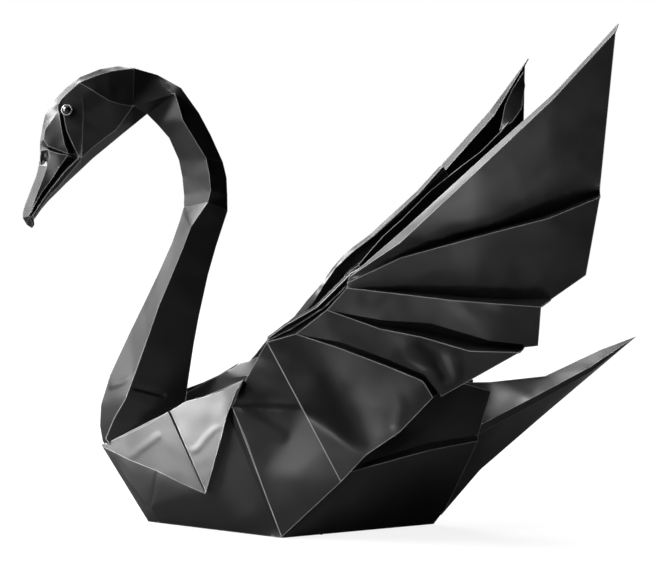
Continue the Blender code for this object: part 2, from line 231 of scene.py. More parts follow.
@dataclass
class FoldedLayer:
    """One layer of the folded sheet, built from fold lines and dressed as paper.

    A fold line's edges are kept sharp. All other edges inside a panel bend softly. No edge is left
    longer than cell, relaxing counts the rounds that smooth a panel, and billow is how far its middle
    stands out. Ridges don't reach into the margin beside a fold.
    """

    name: str
    half: Half = Half.BOTH
    cell: float = 1.6 * MM
    relaxing: int = 24
    billow: float = 0.0
    billow_reach: float = 6.0 * MM
    # The fold angle at which a fold's grey line of cracked fibre and painted highlight shows in full.
    full_fibre_and_highlight_angle: float = math.radians(50.0)
    cutting_rounds: int = 9
    shortest_cut: float = 0.35 * MM
    fold_margin_mm: float = 2.5
    folds_tried: int = 4
    ridges: list[Ridge] = field(default_factory=list)

    def __post_init__(self) -> None:
        """Starts the empty sheet."""
        self.shape: BMesh = bmesh.new()
        self.known: dict[tuple[int, int, int], BMVert] = {}
        self.soft: set[frozenset[BMVert]] = set()
        self.creased: list[tuple[Vector, Vector]] = []
        self.dark: list[tuple[Vector, Vector]] = []

    def vert(self, place: Vector) -> BMVert:
        """The sheet's vertex at a place, made once."""
        key = tuple(round(value * 1e7) for value in place)
        if key not in self.known:
            self.known[key] = self.shape.verts.new(place)
        return self.known[key]

    def panel(self, *corners: Vector) -> None:
        """Adds one panel of paper between folds.

        Args:
            corners: The panel's corners in order, of which doubled ones are dropped.
        """
        verts: list[BMVert] = []
        for corner in corners:
            vert = self.vert(corner)
            if vert not in verts:
                verts.append(vert)
        self.shape.faces.new(verts)

    def strip(self, first: Sequence[Vector], second: Sequence[Vector], crisp: Iterable[int] = ()) -> None:
        """Adds the paper between two fold lines with as many points.

        Args:
            first: The first fold line.
            second: The second fold line.
            crisp: The numbers of the points whose cross line is a fold too.
        """
        kept = set(crisp)
        for index in range(len(first) - 1):
            self.panel(first[index], first[index + 1], second[index + 1], second[index])
        for index in range(1, len(first) - 1):
            ends = frozenset((self.vert(first[index]), self.vert(second[index])))
            if index not in kept and len(ends) == 2:
                self.soft.add(ends)

    def strips(self, *folds: Sequence[Vector]) -> None:
        """Adds the paper between each two neighbours of several fold lines."""
        for first, second in zip(folds, folds[1:]):
            self.strip(first, second)

    def soften(self, *line: Vector) -> None:
        """Says that the edges along a line bend softly instead of being folded."""
        for start, end in zip(line, line[1:]):
            self.soft.add(frozenset((self.vert(start), self.vert(end))))

    def crease(self, *line: Vector) -> None:
        """Says that a line was pressed to a sharp crease, which shows cracked fibre and a painted
        highlight at any angle.
        """
        self.creased.extend(zip(line, line[1:]))

    def shade(self, *line: Vector) -> None:
        """Says that a line is a tight groove, in which no cracked fibre and no painted highlight shows.
        """
        self.dark.extend(zip(line, line[1:]))

    @staticmethod
    def lies_on(edge: BMEdge, lines: Iterable[tuple[Vector, Vector]]) -> bool:
        """Whether an edge is a part of one of some straight lines."""
        middle = (edge.verts[0].co + edge.verts[1].co) / 2
        for start, end in lines:
            nearest, share = geometry.intersect_point_line(middle, start, end)
            if 0.0 <= share <= 1.0 and (nearest - middle).length < SAME_PLACE:
                return True
        return False

    def fold_verts(self) -> set[BMVert]:
        """The vertices on folds and on the paper's edges."""
        found: set[BMVert] = set()
        for edge in self.shape.edges:
            if not edge.smooth or edge.is_boundary:
                found.update(edge.verts)
        return found

    def refine(self) -> None:
        """Cuts the panels finely enough to bend, and keeps a free vertex between two folds."""
        for _ in range(self.cutting_rounds):
            fixed = self.fold_verts()
            long_edges = [
                edge
                for edge in self.shape.edges
                if edge.calc_length() > self.cell
                or (
                    edge.smooth
                    and not edge.is_boundary
                    and edge.calc_length() > self.shortest_cut
                    and edge.verts[0] in fixed
                    and edge.verts[1] in fixed
                )
            ]
            if not long_edges:
                break
            bmesh.ops.subdivide_edges(self.shape, edges=long_edges, cuts=1, use_grid_fill=True)
            bmesh.ops.triangulate(self.shape, faces=self.shape.faces)
            inner = [edge for edge in self.shape.edges if edge.smooth and not edge.is_boundary]
            bmesh.ops.beautify_fill(self.shape, faces=self.shape.faces, edges=inner, method="ANGLE")

    def relax(self) -> None:
        """Lets the paper between the folds settle into a smooth surface."""
        fixed = self.fold_verts()
        free = [vert for vert in self.shape.verts if vert not in fixed]
        for _ in range(self.relaxing):
            bmesh.ops.smooth_vert(
                self.shape, verts=free, factor=0.5, use_axis_x=True, use_axis_y=True, use_axis_z=True
            )

    def wear_and_highlight(self, edge: BMEdge) -> float:
        """How much cracked fibre and painted highlight an edge shows: fully on a ridge or a cut, not at
        all in a valley.
        """
        if self.lies_on(edge, self.dark):
            return 0.0
        if len(edge.link_faces) < 2 or self.lies_on(edge, self.creased):
            return 1.0
        first, second = edge.link_faces
        across = second.calc_center_median() - first.calc_center_median()
        if across.dot(first.normal) > 0.0:
            return 0.0
        return min(1.0, first.normal.angle(second.normal, 0.0) / self.full_fibre_and_highlight_angle)

    def measure(self) -> None:
        """Stores each vertex's distance to the nearest fold, in millimetres, and how much cracked fibre
        and painted highlight that fold shows.
        """
        # Each fold's grey line is partly cracked fibre and partly a painted highlight of the rounded
        # fold.
        layer = self.shape.verts.layers.float.new("fold_distance")
        fibre_and_highlight_layer = self.shape.verts.layers.float.new("fold_fibre_and_highlight_share")
        self.shape.normal_update()
        at: dict[int, list[BMEdge]] = {}
        fibre_and_highlight_by_edge: dict[BMEdge, float] = {}
        on_folds = self.fold_verts()
        fixed = [vert for vert in self.shape.verts if vert in on_folds]
        tree = KDTree(len(fixed))
        for number, vert in enumerate(fixed):
            tree.insert(vert.co, number)
            at[number] = [edge for edge in vert.link_edges if not edge.smooth or edge.is_boundary]
            for edge in at[number]:
                if edge not in fibre_and_highlight_by_edge:
                    fibre_and_highlight_by_edge[edge] = self.wear_and_highlight(edge)
            vert[fibre_and_highlight_layer] = max(fibre_and_highlight_by_edge[edge] for edge in at[number])
        tree.balance()
        for vert in self.shape.verts:
            if vert in on_folds:
                vert[layer] = 0.0
                continue
            best = 1.0
            for _, number, _ in tree.find_n(vert.co, self.folds_tried):
                for edge in at[number]:
                    _, share = geometry.intersect_point_line(vert.co, edge.verts[0].co, edge.verts[1].co)
                    near = edge.verts[0].co.lerp(edge.verts[1].co, min(max(share, 0.0), 1.0))
                    if (vert.co - near).length < best:
                        best = (vert.co - near).length
                        vert[fibre_and_highlight_layer] = fibre_and_highlight_by_edge[edge]
            vert[layer] = best / MM

    def press(self) -> None:
        """Moves the panels' insides by their billow and by each soft fold."""
        layer = self.shape.verts.layers.float["fold_distance"]
        self.shape.normal_update()
        for vert in self.shape.verts:
            inside = min(1.0, vert[layer] * MM / self.billow_reach)
            if inside <= 0.0:
                continue
            move = self.billow * inside * (2.0 - inside)
            near_fold = min(1.0, vert[layer] / self.fold_margin_mm)
            for ridge in self.ridges:
                move += ridge.lift(vert.co) * near_fold
            vert.co += vert.normal * move

    def finish(self, paper: bpy.types.Material) -> None:
        """Turns the drawn panels to a dressed layer of paper.

        Args:
            paper: The paper's material.
        """
        shape = self.shape
        bmesh.ops.recalc_face_normals(shape, faces=shape.faces)
        if sum(face.normal.y * face.calc_area() for face in shape.faces) > 0:
            bmesh.ops.reverse_faces(shape, faces=shape.faces)
        for edge in shape.edges:
            edge.smooth = frozenset(edge.verts) in self.soft
        bmesh.ops.triangulate(shape, faces=shape.faces)
        self.refine()
        self.relax()
        self.measure()
        self.press()
        if self.half is Half.BOTH:
            everything = [*shape.verts, *shape.edges, *shape.faces]
            bmesh.ops.mirror(
                shape, geom=everything, axis="Y", matrix=Matrix.Identity(4), merge_dist=SAME_PLACE
            )
            bmesh.ops.recalc_face_normals(shape, faces=shape.faces)
            outwards = sum(
                face.normal.y * math.copysign(face.calc_area(), face.calc_center_median().y)
                for face in shape.faces
            )
            if outwards < 0:
                bmesh.ops.reverse_faces(shape, faces=shape.faces)
        elif self.half is Half.RIGHT:
            bmesh.ops.scale(shape, verts=shape.verts, vec=(1.0, -1.0, 1.0))
            bmesh.ops.reverse_faces(shape, faces=shape.faces)
        for face in shape.faces:
            face.smooth = True
        made = add_mesh(self.name, shape, paper)
        solid = made.modifiers.new("paper_thickness", "SOLIDIFY")
        solid.thickness = PAPER_THICKNESS
        solid.offset = -1.0
        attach(made, BODY)
        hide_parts("folded_sheet")
        log.info("%s: %d faces", self.name, len(made.data.polygons))


@dataclass(frozen=True)
class BlackPaper:
    """Black dyed paper, calendered to a satin face, with paler fibre and a painted highlight where it is
    folded.

    The dye gives a near black ground, the calendering a broad soft sheen, and the cracked surface at a
    fold shows as a thin grey line, which also paints the highlight that a rounded fold catches.
    """

    dye: str = "#0b0b0c"
    dye_worn: str = "#121213"
    # Grey of the fold lines: cracked fibre, and a painted highlight of the fold's rounded edge.
    fold_fibre_and_highlight_grey: str = "#77777a"
    roughness: float = 0.32
    fibre_mm: float = 0.45
    mottle_mm: float = 9.0
    fold_line_mm: float = 0.28
    mottle_detail: float = 1.0
    fibre_detail: float = 3.0
    grain: float = 0.04
    grain_depth: float = 0.06 * MM
    cockle: float = 0.25
    cockle_depth: float = 0.6 * MM

    def make(self) -> bpy.types.Material:
        """Builds the paper's material."""
        made, tree, shader = new_material("black_satin_paper")
        away = add_node(tree, "ShaderNodeAttribute", {"attribute_name": "fold_distance"}).outputs["Fac"]
        wear_and_highlight = add_node(tree, "ShaderNodeAttribute", {"attribute_name": "fold_fibre_and_highlight_share"}).outputs["Fac"]
        mottle = noise(tree, 1000.0 / self.mottle_mm, self.mottle_detail)
        fibre = noise(tree, 1000.0 / self.fibre_mm, self.fibre_detail)
        ground = mix(tree, mottle, linear(self.dye), linear(self.dye_worn))
        # Painted highlight: the thin grey line beside ridge folds and cut edges is partly cracked fibre
        # and partly the catch-light of a rounded fold, painted into the colour.
        near_fold = map_range(tree, away, (0.0, self.fold_line_mm), (1.0, 0.0), "SMOOTHSTEP")
        fibre_and_highlight_mask = combine(tree, "MULTIPLY", near_fold, wear_and_highlight)
        coloured = mix(tree, fibre_and_highlight_mask, ground, linear(self.fold_fibre_and_highlight_grey))
        sheen = map_range(tree, mottle, (0.3, 0.7), (self.roughness - 0.04, self.roughness + 0.05))
        grain = add_node(
            tree, "ShaderNodeBump", Strength=self.grain, Distance=self.grain_depth, Height=fibre
        )
        cockle = add_node(
            tree,
            "ShaderNodeBump",
            Strength=self.cockle,
            Distance=self.cockle_depth,
            Height=mottle,
            Normal=grain.outputs["Normal"],
        )
        tree.links.new(coloured, shader.inputs["Base Color"])
        tree.links.new(sheen, shader.inputs["Roughness"])
        tree.links.new(cockle.outputs["Normal"], shader.inputs["Normal"])
        return made


@dataclass(frozen=True)
class GlassBead:
    """Black pressed glass: a deep black ground under a hard clear gloss."""

    colour: str = "#050506"
    cloud_colour: str = "#0c0c0e"
    roughness: float = 0.06
    gloss_roughness: float = 0.03

    def make(self) -> bpy.types.Material:
        """Builds the bead's material."""
        made, tree, shader = new_material("black_glass_bead")
        cloud = noise(tree, 1400.0, 2.0)
        tone = mix(tree, cloud, linear(self.colour), linear(self.cloud_colour))
        tree.links.new(tone, shader.inputs["Base Color"])
        shader.inputs["Roughness"].default_value = self.roughness
        shader.inputs["Coat Weight"].default_value = 1.0
        shader.inputs["Coat Roughness"].default_value = self.gloss_roughness
        return made


@dataclass(frozen=True)
class SilverFoil:
    """A ring of silvered foil round the bead: bright metal with fine scratches."""

    colour: str = "#c9cbcc"
    roughness: float = 0.3

    def make(self) -> bpy.types.Material:
        """Builds the ring's material."""
        made, tree, shader = new_material("silver_foil_ring")
        scratches = noise(tree, 2500.0, 3.0)
        rough = map_range(tree, scratches, (0.3, 0.7), (self.roughness - 0.06, self.roughness + 0.08))
        shader.inputs["Base Color"].default_value = linear(self.colour)
        shader.inputs["Metallic"].default_value = 0.9
        tree.links.new(rough, shader.inputs["Roughness"])
        return made


class Hull:
    """The boat-shaped body: flat base, bow, sides with one long fold step, open top and stern."""

    def make(self, paper: bpy.types.Material) -> None:
        """Folds the hull from its fold lines."""
        line, point = HULL.line, HULL.point
        shaded = line((-20.6, -13, 38), (-22.6, -13.2, 28), (-24.2, -13, 17))
        bow_edge = line((-39.6, -6.5, 19), (-40, -5.4, 12.6), (-41.2, -4.4, 6.2))
        ridges = [Ridge(shaded, 0.9 * MM, 6.5 * MM), Ridge(bow_edge, 0.3 * MM, 3.0 * MM)]
        layer = FoldedLayer("hull", relaxing=30, billow=0.12 * MM, ridges=ridges)
        panel, soften = layer.panel, layer.soften
        base_front, base_side, base_rear = line((-42, 0, 0), (1, -16.5, 0), (55, 0, 0))
        breast = point((-58, 0, 25.3))
        bow_high, bow_low, bow_foot = line((-48.3, -2.6, 13.6), (-41.2, -4.4, 6.2), (-38.5, -1.4, 0))
        chine, knee = line((-39.6, -6.5, 19), (-23.8, -13, 13.5))
        rail_front, rail_mid, rail_side = line(
            (-36.9, -8.5, 38.7), (-13.5, -13.5, 50.6), (-16.6, -14.2, 42),
        )
        tuck_front, tuck_rear = line((-10.5, -7.6, 47.6), (22, -9.6, 44))
        groove_top, groove_foot = line((-18.6, -12.4, 41), (-0.6, -15.2, 1.6))
        step_start = point((11, -15.3, 18.5))
        step_low = line((25, -15.6, 22.6), (48.7, -14.5, 29.2), (65.3, -12.5, 32.1))
        step_high = line((27, -13.8, 24.4), (48.7, -12.6, 31.2), (65.6, -11.2, 33.8))
        rail_rear, corner_rear = line((59.6, -12.5, 51.1), (69.1, -11, 48.7))
        stern_side = point((58.2, -3, 6.5))
        stern_foot = TAIL.point((0, 0, 0))
        panel(base_front, bow_foot, base_side, base_rear)
        panel(base_front, breast, bow_high, bow_low, bow_foot)
        panel(breast, chine, bow_low, bow_high)
        panel(chine, knee, base_side, bow_foot, bow_low)
        panel(breast, rail_front, knee, chine)
        panel(rail_front, rail_mid, rail_side, groove_top, knee)
        panel(knee, groove_top, groove_foot, base_side)
        panel(groove_top, rail_side, base_side, groove_foot)
        panel(base_side, step_start, step_low[0], base_rear)
        panel(step_low[0], step_low[1], base_rear)
        panel(step_low[1], step_low[2], stern_side, base_rear)
        panel(base_rear, stern_side, stern_foot)
        panel(base_side, rail_side, step_start)
        panel(rail_side, rail_mid, tuck_front)
        panel(rail_side, tuck_front, step_start)
        panel(tuck_front, tuck_rear, step_high[0], step_start)
        panel(tuck_rear, rail_rear, step_high[1], step_high[0])
        panel(rail_rear, corner_rear, step_high[2], step_high[1])
        layer.strip([step_start, *step_low], [step_start, *step_high])
        soften(base_rear, step_low[0])
        soften(base_rear, step_low[1])
        soften(step_high[1], rail_rear)
        soften(tuck_rear, step_high[0])
        soften(knee, groove_top)
        soften(rail_front, knee)
        soften(knee, base_side)
        layer.shade(breast, bow_high, bow_low, bow_foot)
        layer.finish(paper)


class BreastFlap:
    """The pointed layer folded over the front of the hull, with one crease."""

    def make(self, paper: bpy.types.Material) -> None:
        """Folds the flap from its outline and its crease."""
        line = HULL.line
        front_wrinkle = line(
            (-48.1, -4.6, 22.4), (-45.9, -5.6, 25.3), (-43.4, -6.7, 27.4), (-39.7, -8.3, 30.7),
        )
        rear_wrinkle = line(
            (-29.7, -12.6, 26.9), (-27.2, -13.4, 27.7), (-24.5, -14.4, 31.8), (-22.4, -15.2, 34.5),
            (-20.3, -15.9, 35.3),
        )
        ridges = [Ridge(front_wrinkle, 0.07 * MM, 2.0 * MM), Ridge(rear_wrinkle, 0.055 * MM, 1.8 * MM)]
        layer = FoldedLayer("breast_flap", relaxing=24, cell=0.9 * MM, ridges=ridges)
        top_front = line((-50.4, -3.35, 29.7), (-42.5, -7.2, 34.7))
        crease_top, crease_foot = line((-36.9, -9.5, 39), (-24.1, -15.3, 13.9))
        top_rear = line(
            (-31.3, -11.4, 42.9), (-25.4, -13.5, 44.9), (-20.1, -15.4, 47.3), (-13.7, -17.4, 51.2),
        )
        rear_edge = line((-15.7, -16.9, 47.7), (-18.6, -16.4, 38.8), (-19.9, -16.2, 31.7))
        low_edge = line((-32.2, -11.6, 16.4), (-39.6, -8.3, 19.2), (-48.5, -4.3, 21.6))
        tip_top, tip_foot = line((-58, 0, 25.6), (-58, 0, 25.1))
        groove_top, groove_foot = line((-36.5, -8.9, 39), (-24.3, -14.7, 13.9))
        lip_top, lip_foot = line((-36.1, -9.6, 39.3), (-23.9, -15.2, 14.3))
        layer.panel(tip_foot, tip_top, *top_front, crease_top, crease_foot, *low_edge)
        layer.panel(crease_top, groove_top, groove_foot, crease_foot)
        layer.panel(groove_top, lip_top, lip_foot, groove_foot)
        layer.panel(lip_top, *top_rear, *rear_edge, lip_foot)
        layer.shade(crease_top, crease_foot)
        layer.shade(groove_top, groove_foot)
        layer.finish(paper)


@dataclass
class Wing:
    """One wing: shoulder, apron and a fan of four pleats that opens from the root."""

    half: Half
    rolled_pleats: int = 2

    def pleats(self) -> tuple[tuple[list[Vector], list[Vector], list[Vector]], ...]:
        """The turn, the valley and the crease of each pleat, from the root to the free edge."""
        line = WING.line
        return (
            (
                line((40.4, -15, 32.3), (63.2, -26, 41.1), (82.5, -34, 51.8), (96.6, -38.5, 55.3)),
                line((41, -12.5, 30.9), (64.7, -21, 40), (84.6, -29, 47.2), (98.1, -35, 54.1)),
                line((40.6, -14.5, 30.3), (63.1, -27, 38.9), (82.4, -35.5, 45.7), (96.2, -40, 52.8)),
            ),
            (
                line((42.8, -14, 21.3), (64.7, -25, 22.8), (82.2, -31, 24.3), (95, -36, 28.6)),
                line((43.6, -11, 19.4), (60.2, -18, 19.1), (74.7, -25, 19.3), (86.7, -30, 20.3)),
                line((41.4, -13.5, 18.6), (56, -22, 18), (70.1, -29.5, 18), (81.6, -35, 18.1)),
            ),
            (
                line((35.4, -13, 9.9), (50.4, -20, 10.2), (68.4, -27, 6), (82.7, -31.5, 5.5)),
                line((36.1, -10, 7.9), (51.6, -16, 6.8), (66.1, -22, 3.9), (79.9, -27, 4.3)),
                line((35.7, -12.5, 6.9), (47.6, -19, 5.6), (62.4, -26, 2.4), (77.1, -31, 3.2)),
            ),
            (
                line((23.2, -10, 1.9), (37, -17, -2), (48.9, -23, -6), (54.4, -24.5, -12.6)),
                line((23.5, -8, 0.6), (37.7, -14, -3.4), (49.2, -19.8, -7.2), (54, -21.5, -12.2)),
                line((23.4, -9.5, -0.3), (37.2, -16.5, -4.4), (48.3, -23.5, -7.9), (51.4, -25.6, -12.8)),
            ),
        )

    def creases(self) -> list[Ridge]:
        """The soft folds of the shoulder and the crumples of the lower pleats."""
        found: list[Ridge] = []
        for height, reach, *bent in (
            (0.25, 3.4, (-17.1, -15.5, 42.2), (-7.2, -15.7, 42.4), (4.5, -15.9, 42.4)),
            (0.3, 3.4, (-17.1, -15.5, 42.2), (-10.3, -16, 38.8), (-1, -16.6, 33.4)),
            (0.45, 5.0, (36, -20, 67.6), (39.1, -22, 62.5), (44.4, -23, 57.7), (48.7, -24, 52.5)),
            (-0.35, 4.0, (42.5, -22, 66.5), (47, -23.5, 60.5), (50.4, -24.5, 54.5)),
            (0.3, 3.4, (50.1, -24, 66), (52.5, -25, 60.8), (52.8, -26, 56.2), (51.8, -26, 52)),
            (0.25, 4.0, (63.8, -27, 78.3), (67.9, -28.5, 73.9), (72.2, -30, 70.1), (76.4, -31, 66.6)),
            (0.2, 3.4, (34.4, -23, 49.7), (36.6, -23.5, 44.7), (35.5, -24, 39.6)),
        ):
            found.append(Ridge(HULL.line(*bent), height * MM, reach * MM))
        return found

    def make(self, paper: bpy.types.Material) -> None:
        """Folds the wing from its fan of fold lines."""
        name = f"{self.half.value}_wing"
        layer = FoldedLayer(name, half=self.half, relaxing=30, cell=1.4 * MM, ridges=self.creases())
        panel, strip = layer.panel, layer.strip
        line, point = WING.line, WING.point
        apex = point((0, -2, 0))
        shoulder_edge = HULL.line((-8.4, -4.5, 56.8), (-13, -11, 49.2), (-16.8, -15.5, 42.2))
        flank_edge = HULL.line((-11.9, -15.8, 31.8), (-6.9, -16.15, 19.1), (0.9, -16.7, 0.4))
        fold_end, skirt = point((11.3, -16, -19.4)), point((24.3, -20, -41.9))
        free_edge = line((31.6, -22, -32.5), (41.6, -24.5, -24.3))
        soft_fold = line((17.2, -9, -7), (25.2, -14.5, -18))
        roots = line(
            (25.8, -5, 22.8), (25.2, -5, 20.8), (25.3, -5, 19.2), (19.2, -4, 11.6), (9.4, -3, 3.1),
        )
        leading = line((40.4, -13, 38.3), (62.1, -25, 62.6), (81.1, -34.5, 83.4), (97, -42.5, 104.5))
        inner = line((41.6, -11, 36.6), (63.3, -22.8, 60.9), (82.2, -32.2, 81.6), (96.6, -41, 100.5))
        band = line((40.1, -15.5, 35.2), (61.5, -28, 60), (80.4, -37, 81.6), (96.1, -43.5, 102.1))
        strip([roots[0], *leading], [roots[0], *band])
        strip([roots[0], *inner[:3]], [roots[0], *leading[:3]])
        panel(inner[2], leading[2], leading[3])
        upper = [roots[0], *band]
        for number, (turn, valley, crease) in enumerate(self.pleats()):
            root = roots[number + 1]
            turn, valley, crease = [root, *turn], [root, *valley], [root, *crease]
            layer.strips(upper, turn, valley, crease)
            if number < self.rolled_pleats:
                layer.soften(*turn)
            else:
                layer.shade(*turn)
            upper = crease
        strip(upper, [apex, *soft_fold, free_edge[0], free_edge[1]])
        panel(apex, *soft_fold, free_edge[0], skirt, fold_end)
        panel(apex, *shoulder_edge, fold_end)
        panel(shoulder_edge[-1], *flank_edge, skirt, fold_end)
        root_edge = [*roots, apex]
        lower_deep = line(
            (31.5, -5, 26.8), (26.5, -2.5, 21), (26.2, -2.2, 19.6), (19, -1.8, 11.7), (8.4, -1.4, 3.7),
            (0.2, -1.2, 0.3),
        )
        lower_lip = line(
            (31.6, -5.4, 27), (26.4, -3.6, 21.8), (26.1, -3.6, 20.4), (18.3, -3, 12.1),
            (7.8, -2.2, 4.6), (0.4, -1.6, 0.6),
        )
        upper_deep = line(
            (31.8, -5, 27.2), (26.8, -1.4, 22.6), (26.5, -1.2, 21.6), (17.4, -1, 11.8), (7, -0.9, 5.1),
            (0.4, -0.9, 0.9),
        )
        upper_lip = line(
            (32, -5.2, 27.4), (26.9, -2.6, 23.9), (26.2, -2.4, 23), (15.9, -2, 11.9), (6.1, -1.6, 5.8),
            (0.4, -1.2, 1.1),
        )
        strip(lower_deep, root_edge)
        strip(lower_lip, lower_deep)
        strip(upper_deep, lower_lip)
        strip(upper_lip, upper_deep)
        layer.soften(shoulder_edge[-1], fold_end)
        layer.crease(apex, fold_end)
        layer.crease(fold_end, skirt)
        layer.soften(apex, *soft_fold, free_edge[0])
        layer.finish(paper)


@dataclass
class FarLayers:
    """The layers that only the swan's right side shows: three on its wing and the hull's lining."""

    paper: bpy.types.Material

    def sheet(self, name: str, relaxing: int, *folds: list[Vector]) -> None:
        """Folds one layer from its fold lines."""
        layer = FoldedLayer(name, half=Half.RIGHT, relaxing=relaxing, cell=1.2 * MM)
        layer.strips(*folds)
        layer.finish(self.paper)

    def wing(self) -> None:
        """Folds the wing's turned rim, its inner pleat and the fold at its tip."""
        line = WING.line
        contour = line(
            (0.6, -1.2, 0.6), (5, -2.4, 4.3), (9.3, -3.4, 8), (13.4, -4.2, 13.5), (18.1, -5, 19.1),
            (22.1, -7.2, 24.7), (26.8, -8.3, 30.3), (34.4, -10, 36.1), (42.4, -12.2, 43.7),
            (51.1, -15.4, 51.7), (60.3, -19.4, 61.7),
        )
        inside = line(
            (0.6, -0.9, 0.1), (6.5, -1.6, 4.1), (11.7, -2.4, 8.6), (15.9, -3, 14.1), (19.1, -3.6, 19.6),
            (22.7, -4.4, 25), (28.4, -5.6, 30.6), (35.7, -7.5, 36.3), (43.7, -10, 43.8),
            (52.1, -13.5, 51.8), (60.8, -18, 61.4),
        )
        deep = line(
            (0.6, -1, -0.2), (8.7, -2.8, 1.1), (15.3, -4.6, 5.3), (20.6, -5.6, 10.8),
            (24.5, -6.4, 16.3), (28.4, -7.4, 21.9), (33.8, -8.8, 27.4), (40.8, -11, 33.1),
            (48.6, -13.8, 40.6), (56.7, -17.5, 48.5), (64.4, -22, 57.7),
        )
        pleat = line(
            (29.6, -1, 26.6), (33.5, -3.5, 31), (38.5, -6, 36.5), (45.3, -9, 42.5), (55.7, -14, 52.7),
            (67.2, -19, 61.7), (75.3, -23, 67.6), (83.7, -28, 75.5), (87.3, -31, 79.5),
        )
        pleat_low = line(
            (31.2, -1.5, 24.2), (36.2, -4, 27.7), (42, -7, 32.5), (49.3, -10, 38.2), (59.8, -15, 48),
            (70.7, -20, 57.3), (79.5, -24, 63.6), (87.3, -29, 71), (89.3, -32, 76.8),
        )
        tip_edge = line((84.4, -30.5, 76), (86.8, -34.5, 85.9), (89.7, -36.5, 91.8), (94.5, -39.5, 99))
        tip_fold = line((84.8, -29.9, 76.4), (89, -31.2, 79.6), (92.8, -33.4, 84.8), (95, -38, 93.6))
        self.sheet("far_wing_rim", 12, contour, inside, deep)
        self.sheet("far_wing_pleat", 12, pleat, pleat_low)
        self.sheet("far_wing_tip_fold", 12, tip_edge, tip_fold)

    def lining(self) -> None:
        """Folds the layer turned into the open hull, seen behind the flap up to the wing's root."""
        rail = HULL.line(
            (-34.6, -8.2, 40), (-31.4, -8.9, 41.6), (-27, -9.7, 44), (-21.6, -9.9, 47.3),
            (-17.3, -9.2, 49.8), (-13.5, -8, 52.5), (-10.3, -6.8, 53.7), (-7.5, -5.4, 55.5),
        )
        turn = HULL.line(
            (-33.4, -7.6, 39), (-28.7, -8.4, 41), (-24.9, -8.9, 43), (-21, -9, 45.2),
            (-16.6, -8.4, 47.2), (-11.6, -7.2, 48.5), (-9.3, -6.4, 48.8), (-6.7, -5.6, 50),
        )
        foot = HULL.line(
            (-32, -6.4, 36.9), (-28, -7, 37.5), (-24, -7.4, 38.4), (-20.6, -7.4, 40),
            (-16.4, -6.9, 41.8), (-12.2, -5.8, 43.5), (-9.9, -5.2, 44.4), (-6.6, -4.6, 45.3),
        )
        self.sheet("far_lining", 10, rail, turn, foot)


